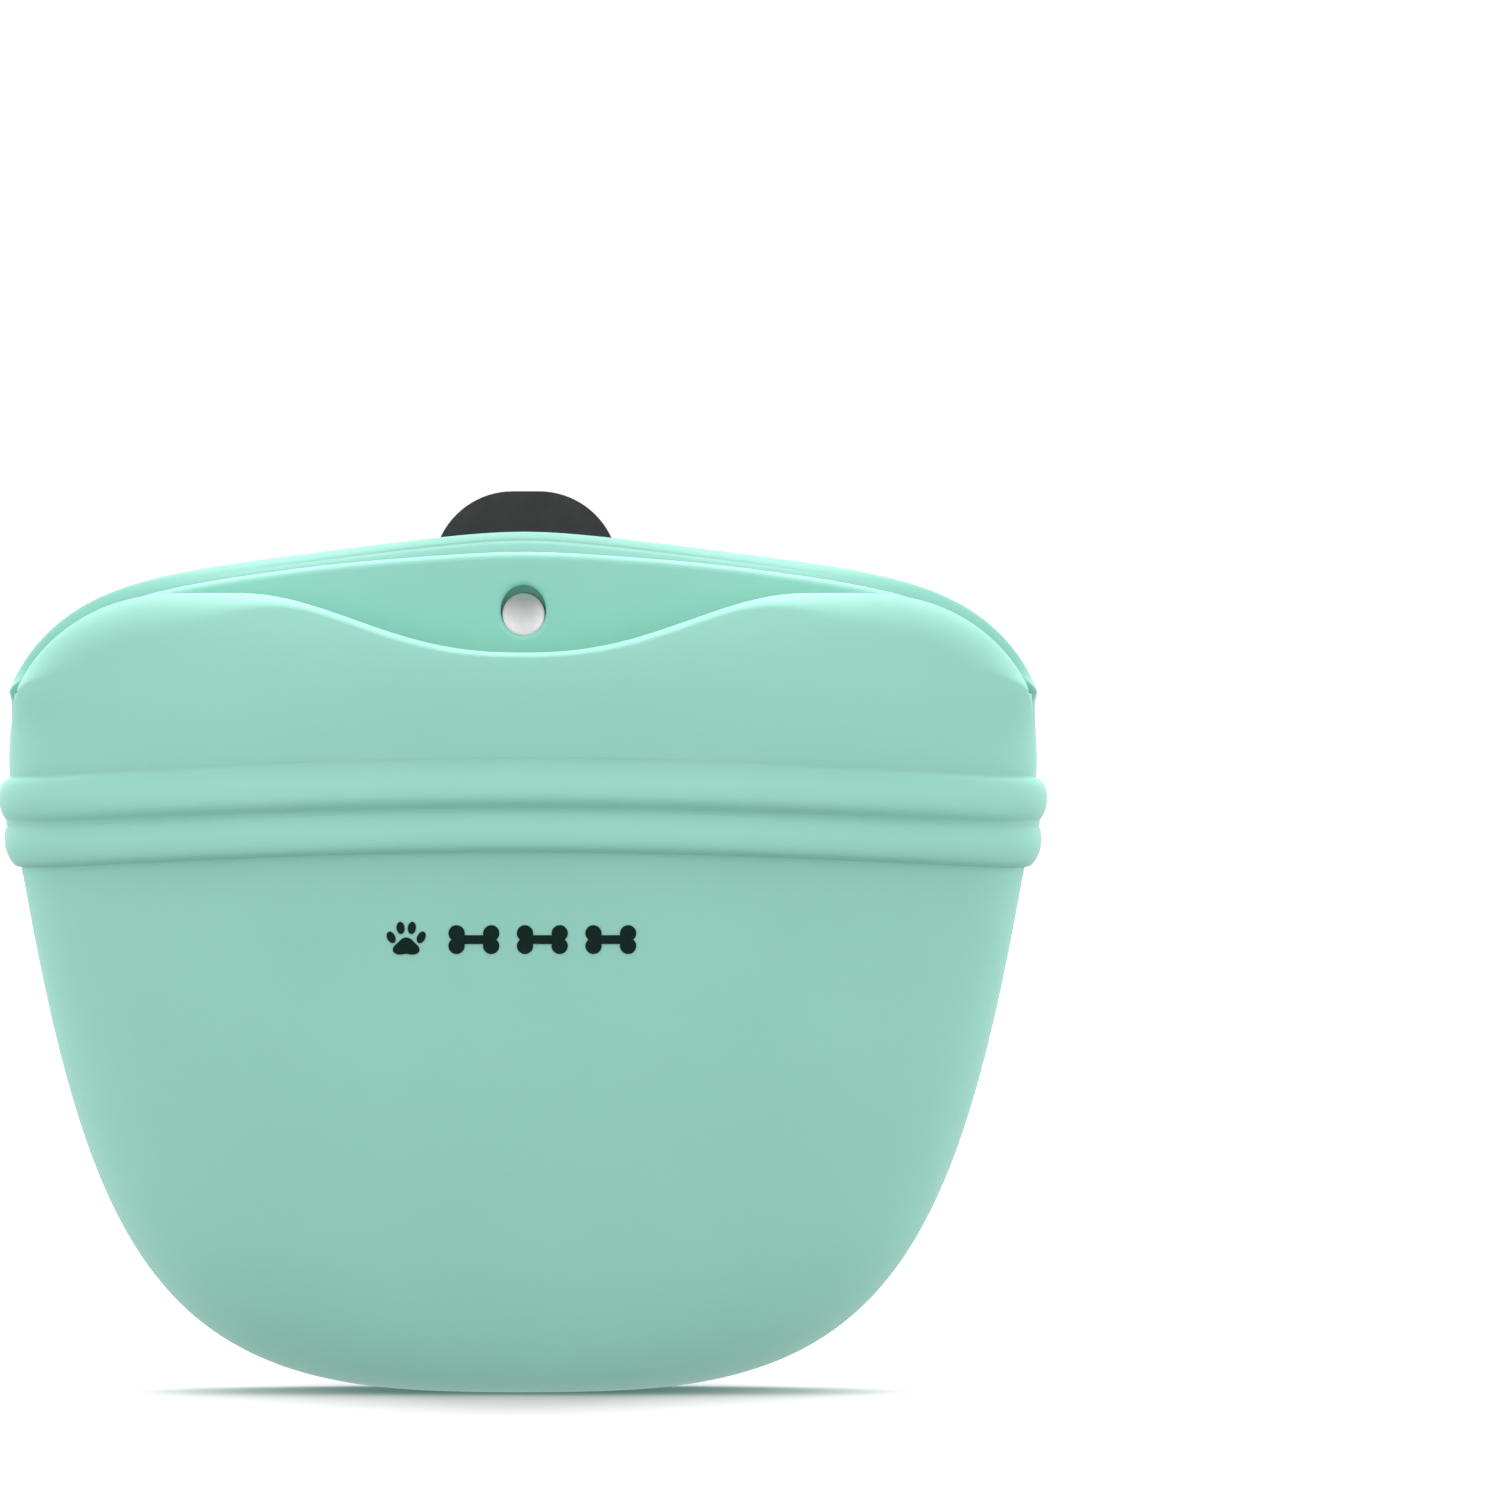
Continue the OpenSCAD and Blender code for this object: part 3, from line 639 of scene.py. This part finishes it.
def metal(name, base, rough_low, rough_high, stretch):
    """Metal with fine drawn lines along one direction."""
    material, tree, shader = new_material(name)
    place = tree.nodes.new("ShaderNodeTexCoord")
    pull = tree.nodes.new("ShaderNodeMapping")
    pull.inputs["Scale"].default_value = stretch
    lines = tree.nodes.new("ShaderNodeTexNoise")
    lines.inputs["Scale"].default_value = 900.0
    lines.inputs["Detail"].default_value = 4.0
    tree.links.new(place.outputs["Object"], pull.inputs["Vector"])
    tree.links.new(pull.outputs[0], lines.inputs["Vector"])
    darker = tuple(v * 0.82 for v in base)
    body = mix_colour(tree, lines.outputs[0], darker, base)
    tree.links.new(body.outputs[2], shader.inputs["Base Color"])
    vary_roughness(tree, shader, lines, rough_low, rough_high)
    bump = bump_node(tree, lines.outputs[0], 0.12, 0.00005)
    tree.links.new(bump.outputs[0], shader.inputs["Normal"])
    shader.inputs["Metallic"].default_value = 1.0
    return material


def shade_above(material, low, high, dark):
    """Darkens a material upwards between two heights in metres, as in the shade of a well."""
    tree = material.node_tree
    shader = tree.nodes["Principled BSDF"]
    colour = shader.inputs["Base Color"].links[0].from_socket
    place = tree.nodes.new("ShaderNodeTexCoord")
    split = tree.nodes.new("ShaderNodeSeparateXYZ")
    tree.links.new(place.outputs["Object"], split.inputs[0])
    share = ramp_node(tree, split.outputs["Z"], low, high, 1.0, dark)
    shaded = tree.nodes.new("ShaderNodeVectorMath")
    shaded.operation = "SCALE"
    tree.links.new(colour, shaded.inputs[0])
    tree.links.new(share.outputs[0], shaded.inputs["Scale"])
    tree.links.new(shaded.outputs[0], shader.inputs["Base Color"])


def ink(name, base):
    """Matte printed ink, a little uneven."""
    material, tree, shader = new_material(name)
    cover = noise_node(tree, 1500.0, 3.0)
    paler = tuple(v * 1.5 for v in base)
    body = mix_colour(tree, ramp_node(tree, cover.outputs[0], 0.4, 0.8, 0, 1).outputs[0], base, paler)
    tree.links.new(body.outputs[2], shader.inputs["Base Color"])
    vary_roughness(tree, shader, cover, 0.4, 0.55)
    shader.inputs["Specular IOR Level"].default_value = 0.1
    return material


def wear(piece, material):
    piece.data.materials.clear()
    piece.data.materials.append(material)


mint = silicone("mint_silicone", (0.275, 0.595, 0.500), (0.262, 0.575, 0.482))
# painted light: the cover strips wear a lighter copy of the mint silicone, brightening their faces as if they
# caught more light
mint_strip_painted_light = silicone("mint_strip_painted_light", (0.311, 0.657, 0.552), (0.297, 0.636, 0.533))
black = moulded_plastic("black_plastic", (0.0175, 0.0145, 0.0158), (0.033, 0.029, 0.031))
steel = metal("satin_steel", (0.62, 0.63, 0.65), 0.26, 0.38, (1.0, 6.0, 6.0))
rivet_steel = metal("rivet_steel", (0.97, 0.96, 0.97), 0.22, 0.28, (0.4, 0.4, 0.4))
rivet_steel.node_tree.nodes["Principled BSDF"].inputs["Metallic"].default_value = 0.9
shade_above(rivet_steel, 0.1025, 0.1060, 0.55)
wire = metal("spring_wire", (0.48, 0.49, 0.52), 0.22, 0.34, (4.0, 4.0, 4.0))
nickel = metal("nickel_plate", (0.66, 0.64, 0.60), 0.16, 0.26, (2.0, 1.0, 2.0))
print_ink = ink("print_ink", (0.002, 0.014, 0.010))

pouch_skin = build_bag()
drill_lip(pouch_skin)
wear(pouch_skin, mint)
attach(pouch_skin, "pouch")
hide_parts("pouch_body")

front_lip_skin = build_front_lip()
wear(front_lip_skin, mint)
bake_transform(front_lip_skin)
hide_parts("front_lip")


def copy_node(node, name, cuts):
    """A copy of a CAD node's mesh, cut into thin layers across its height."""
    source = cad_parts[node]
    mesh = source.data.copy()
    bm = bmesh.new()
    bm.from_mesh(mesh)
    bmesh.ops.remove_doubles(bm, verts=bm.verts, dist=1e-6)
    for z in cuts:
        bmesh.ops.bisect_plane(bm, geom=bm.verts[:] + bm.edges[:] + bm.faces[:], dist=1e-7,
                               plane_co=(0, 0, z * MM), plane_no=(0, 0, 1))
    bm.to_mesh(mesh)
    bm.free()
    mesh.shade_smooth()
    mesh.set_sharp_from_angle(angle=0.6)
    piece = bpy.data.objects.new(name, mesh)
    bpy.context.collection.objects.link(piece)
    return piece


def soften(piece, width, segments=3):
    edge = piece.modifiers.new("edge", "BEVEL")
    edge.width = width * MM
    edge.segments = segments
    edge.limit_method = "ANGLE"
    edge.angle_limit = math.radians(35)
    edge.harden_normals = False


strip = copy_node("front_lip_cover", "front_strip", np.arange(94.5, 106, 0.8))
wear(strip, mint_strip_painted_light)
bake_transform(strip)
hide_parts("front_lip_cover")

for i in range(1, 5):
    disc = copy_node(f"front_magnet_{i}", f"front_disc_{i}", np.arange(94.5, 103.5, 1.0))
    wear(disc, nickel)
    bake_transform(disc)
    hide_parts(f"front_magnet_{i}")


def round_front(piece, outline_r, hole_r):
    """Rounds the edges of a strip's front face, along its outline and round its hole."""
    bm = bmesh.new()
    bm.from_mesh(piece.data)
    front_y = min(v.co.y for v in bm.verts) + 1e-5
    middle = Vector((0, 0, RIVET_HEIGHT)) * MM
    reach = (RIVET_RADIUS + 1) * MM
    for vert in bm.verts:
        if (vert.co - middle).length < reach:
            vert.co.x *= WELL_HALF_WIDTH / RIVET_RADIUS
            vert.co.z = middle.z + WELL_RISE * MM + (vert.co.z - middle.z) * WELL_HALF_HEIGHT / RIVET_RADIUS
    middle.z += WELL_RISE * MM
    outline, hole = [], []
    for edge in bm.edges:
        on_front = all(v.co.y < front_y for v in edge.verts)
        if on_front and len(edge.link_faces) == 2 and edge.calc_face_angle() > 1:
            near_hole = (edge.verts[0].co - middle).length < reach
            (hole if near_hole else outline).append(edge)
    for edges, radius in ((hole, hole_r), (outline, outline_r)):
        edges = [edge for edge in edges if edge.is_valid]
        bmesh.ops.bevel(bm, geom=edges, offset=radius * MM, segments=6, profile=0.5, affect="EDGES",
                        clamp_overlap=True)
    bm.to_mesh(piece.data)
    bm.free()
    piece.data.shade_smooth()
    piece.data.set_sharp_from_angle(angle=0.6)


back_strip = copy_node("back_lip_cover", "back_strip", ())
round_front(back_strip, 1.1, 0.8)
wear(back_strip, mint_strip_painted_light)
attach(back_strip, "pouch")
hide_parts("back_lip_cover")

rivet = build_rivet()
wear(rivet, rivet_steel)
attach(rivet, "pouch")
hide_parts("lip_rivet")


# ---------------------------------------------------------------- printed mark on the front
def front_surface(x, z):
    """Depth of the front of the bag at x and z below the beads."""
    t = np.linspace(0.3, 1, 800)
    heights = bezier(BAG_HEIGHTS, t)
    lifted = z - arch(x, -1, z)
    wide = np.interp(lifted, heights, bezier(BAG_WIDTHS, t))
    deep = np.interp(lifted, heights, bezier(BAG_FRONTS, t))
    return -deep * share_of_depth(x / wide)


def oval(cx, cz, rx, rz, turn):
    """Outline of an oval toe, turned by an angle."""
    a = np.linspace(0, 2 * math.pi, 40, endpoint=False)
    x, z = rx * np.cos(a), rz * np.sin(a)
    turned_x = cx + x * math.cos(turn) - z * math.sin(turn)
    turned_z = cz + x * math.sin(turn) + z * math.cos(turn)
    return np.stack([turned_x, turned_z], 1)


def paw_pad(cx, cz, size):
    """Rounded heel pad of a paw print."""
    a = np.linspace(0, 2 * math.pi, 56, endpoint=False)
    r = size * (1 + 0.16 * np.cos(3 * (a - math.pi / 2)) - 0.10 * np.cos(2 * a + math.pi))
    return np.stack([cx + 1.12 * r * np.cos(a), cz + 0.88 * r * np.sin(a)], 1)


def bone(cx, cz, length, knob, shaft):
    """Outline of a bone with two knobs at each end."""
    b = knob * 0.78
    a = length / 2 - knob
    low = math.asin((shaft - b) / knob)
    right = np.linspace(math.pi - low, math.asin(-b / knob), 18)
    quarter = np.stack([a + knob * np.cos(right), b + knob * np.sin(right)], 1)
    top_left = quarter[::-1] * (-1, 1)
    bottom_right = quarter[::-1] * (1, -1)
    bottom_left = quarter * (-1, -1)
    return np.concatenate([quarter, bottom_right[1:], bottom_left, top_left[1:]]) + (cx, cz)


def build_print(outlines, proud=0.07, sunk=0.12):
    """Thin raised patches of ink with the given outlines, laid on the front of the bag."""
    points, faces = [], []
    for outline in outlines:
        start = len(points)
        n = len(outline)
        mid = outline.mean(0)
        rings = [outline, mix(outline, mid, 0.03)]
        for shape, lift in zip(rings, (-sunk, proud)):
            for x, z in shape:
                points.append((x, float(front_surface(x, z)) - lift, z))
        for k in range(n):
            faces.append((start + k, start + (k + 1) % n, start + n + (k + 1) % n, start + n + k))
        faces.append(tuple(range(start, start + n)))
        faces.append(tuple(range(start + n, start + 2 * n)))
    return mesh_object("printed_mark", points, faces, 0.6)


PAW_X, PAW_Z = -15.3, 59.5
BONE_X, BONE_Z, BONE_PITCH = -6.3, 60.5, 9.1

mark = [paw_pad(PAW_X, PAW_Z, 1.4)]
mark += [oval(PAW_X + dx, PAW_Z + dz, 0.55, 0.84, turn)
         for dx, dz, turn in ((-2.0, 1.3, 0.45), (-0.75, 2.55, 0.12), (0.75, 2.55, -0.12), (2.0, 1.3, -0.45))]
mark += [bone(BONE_X + k * BONE_PITCH, BONE_Z, 6.9, 1.1, 0.6) for k in range(3)]
printed_mark = build_print(mark)
wear(printed_mark, print_ink)
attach(printed_mark, "pouch")

# ---------------------------------------------------------------- belt clip
for node, width in (("clip_base", 0.35), ("clip_lever", 0.4), ("clip_backing_plate", 0.3)):
    wear(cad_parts[node], black)
    soften(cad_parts[node], width)
for node in ("clip_screws", "clip_hinge_pin"):
    wear(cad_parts[node], steel)
    soften(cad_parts[node], 0.12, 2)
for i in range(1, 5):
    wear(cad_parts[f"back_magnet_{i}"], nickel)
    soften(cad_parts[f"back_magnet_{i}"], 0.2)


def tube(name, path, radius, sides=12):
    """A round wire that follows a path of points in mm."""
    path = np.asarray(path, float)
    tangent = np.gradient(path, axis=0)
    tangent /= np.linalg.norm(tangent, axis=1)[:, None]
    across = np.cross(tangent[0], (0.0, 0.0, 1.0))
    if np.linalg.norm(across) < 1e-3:
        across = np.array((1.0, 0.0, 0.0))
    points = []
    for p, t in zip(path, tangent):
        across = across - t * np.dot(across, t)
        across /= np.linalg.norm(across)
        other = np.cross(t, across)
        for k in range(sides):
            a = 2 * math.pi * k / sides
            points.append(p + radius * (math.cos(a) * across + math.sin(a) * other))
    faces = grid_faces(len(path), sides, 0, True)
    faces.append(tuple(range(sides)))
    faces.append(tuple(range((len(path) - 1) * sides, len(path) * sides)))
    return mesh_object(name, points, faces, 0.9)


SPRING_REACH = 3.6
SPRING_WIRE = 0.5


def build_spring():
    """Torsion spring round the hinge pin, with a leg up the thumb tab and a leg down the plate."""
    low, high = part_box("clip_hinge_pin")
    cy, cz = (low.y + high.y) / 2 / MM, (low.z + high.z) / 2 / MM
    radius, turns, per_turn = 2.6, 8, 28
    leg, lean = 12, 0.19
    reach = SPRING_REACH + SPRING_WIRE
    path = [(reach, cy - radius, cz + z) for z in range(leg, 0, -2)]
    for k in range(turns * per_turn + 1):
        a = 2 * math.pi * k / per_turn
        x = reach - 2 * reach * k / (turns * per_turn)
        path.append((x, cy - radius * math.cos(a), cz - radius * math.sin(a)))
    path += [(-reach, cy - radius - lean * z, cz - z) for z in range(2, leg + 1, 2)]
    return tube("spring_wire", path, SPRING_WIRE)


spring = build_spring()
wear(spring, wire)
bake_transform(spring)
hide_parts("clip_spring")

# ---------------------------------------------------------------- floor, light and camera
ROOM = 8.0


def seen_only(piece):
    """Keeps a backdrop in view without letting it light or shade the object."""
    piece.visible_diffuse = False
    piece.visible_glossy = False
    piece.visible_transmission = False
    piece.visible_shadow = False


def paper(name, glow):
    """Black paper without gloss that can glow by itself. paint_floor_shadow can paint a shadow into its
    colour.
    """
    material, _, shader = new_material(name)
    shader.inputs["Base Color"].default_value = (0, 0, 0, 1)
    shader.inputs["Roughness"].default_value = 1.0
    shader.inputs["Specular IOR Level"].default_value = 0.0
    shader.inputs["Emission Color"].default_value = (1, 1, 1, 1)
    shader.inputs["Emission Strength"].default_value = glow
    return material


def paint_floor_shadow(material, near, far, near_colour, far_colour):
    """Paints a shadow into a paper floor's colour: grey round the middle, under the pouch, and paler to the
    left and right, where the contact shadow fades.
    """
    tree = material.node_tree
    place = tree.nodes.new("ShaderNodeTexCoord")
    squeeze = tree.nodes.new("ShaderNodeVectorMath")
    squeeze.operation = "MULTIPLY"
    squeeze.inputs[1].default_value = (1.0, 0.25, 1.0)
    tree.links.new(place.outputs["Object"], squeeze.inputs[0])
    reach = tree.nodes.new("ShaderNodeVectorMath")
    reach.operation = "LENGTH"
    tree.links.new(squeeze.outputs[0], reach.inputs[0])
    shade = ramp_node(tree, reach.outputs["Value"], near, far, near_colour, far_colour)
    tree.links.new(shade.outputs[0], tree.nodes["Principled BSDF"].inputs["Base Color"])


def build_room():
    """A round white floor with a painted shadow round its middle, and a white dome above it."""
    bpy.ops.mesh.primitive_circle_add(vertices=96, radius=ROOM, fill_type="NGON")
    ground = bpy.context.object
    ground.name = "floor"
    floor_paper = paper("floor_paper", 0.0)
    # painted shadow: the floor is coloured grey round the middle, under the pouch, and paler further out
    paint_floor_shadow(floor_paper, near=0.012, far=0.052, near_colour=0.46, far_colour=0.82)
    wear(ground, floor_paper)
    seen_only(ground)
    bpy.ops.mesh.primitive_uv_sphere_add(segments=96, ring_count=48, radius=ROOM)
    dome = bpy.context.object
    dome.name = "backdrop"
    wear(dome, paper("backdrop_paper", 1.05))
    seen_only(dome)


SOFTBOX_DIRECTION = Vector((0, 0.35, 0.93))


def build_sky(level, tilt, sides, patch, nadir):
    """Soft light from all around, stronger from above and the sides, with a softbox overhead."""
    world = bpy.data.worlds.new("studio")
    bpy.context.scene.world = world
    world.use_nodes = True
    tree = world.node_tree
    place = tree.nodes.new("ShaderNodeTexCoord")
    split = tree.nodes.new("ShaderNodeSeparateXYZ")
    tree.links.new(place.outputs["Generated"], split.inputs[0])

    def math_node(operation, a, b):
        node = tree.nodes.new("ShaderNodeMath")
        node.operation = operation
        for socket, value in zip(node.inputs, (a, b)):
            if isinstance(value, (int, float)):
                socket.default_value = value
            else:
                tree.links.new(value, socket)
        return node.outputs[0]

    toward = tree.nodes.new("ShaderNodeVectorMath")
    toward.operation = "DOT_PRODUCT"
    toward.inputs[1].default_value = SOFTBOX_DIRECTION.normalized()
    tree.links.new(place.outputs["Generated"], toward.inputs[0])
    softbox = ramp_node(tree, toward.outputs["Value"], 0.75, 0.95, 0, patch).outputs[0]
    above = math_node("MULTIPLY", split.outputs["Z"], tilt)
    across = math_node("MULTIPLY", math_node("MULTIPLY", split.outputs["X"], split.outputs["X"]), sides)
    down = math_node("MINIMUM", split.outputs["Z"], 0.0)
    below = math_node("MULTIPLY", math_node("MULTIPLY", down, down), -nadir)
    added = math_node("ADD", below, math_node("ADD", across, softbox))
    total = math_node("ADD", math_node("ADD", 1.0, above), added)
    strength = math_node("MULTIPLY", total, level)
    tree.links.new(strength, tree.nodes["Background"].inputs["Strength"])
    tree.nodes["Background"].inputs["Color"].default_value = (1, 1, 1, 1)


def build_camera(distance, view_width, side, height):
    """A camera that looks straight along +Y and sees view_width across at the middle of the pouch."""
    data = bpy.data.cameras.new("camera")
    data.sensor_width = 36
    data.lens = data.sensor_width * distance / view_width
    data.clip_start = 0.01
    data.clip_end = 3 * ROOM
    camera = bpy.data.objects.new("camera", data)
    camera.location = (side, -distance, height)
    camera.rotation_euler = (math.pi / 2, 0, 0)
    bpy.context.collection.objects.link(camera)
    bpy.context.scene.camera = camera


build_room()
build_sky(level=0.757, tilt=0.25, sides=1.25, patch=5.0, nadir=0.5)
build_camera(distance=2.0, view_width=0.2007, side=0.0302, height=0.0859)
bpy.context.scene.view_settings.view_transform = "Standard"
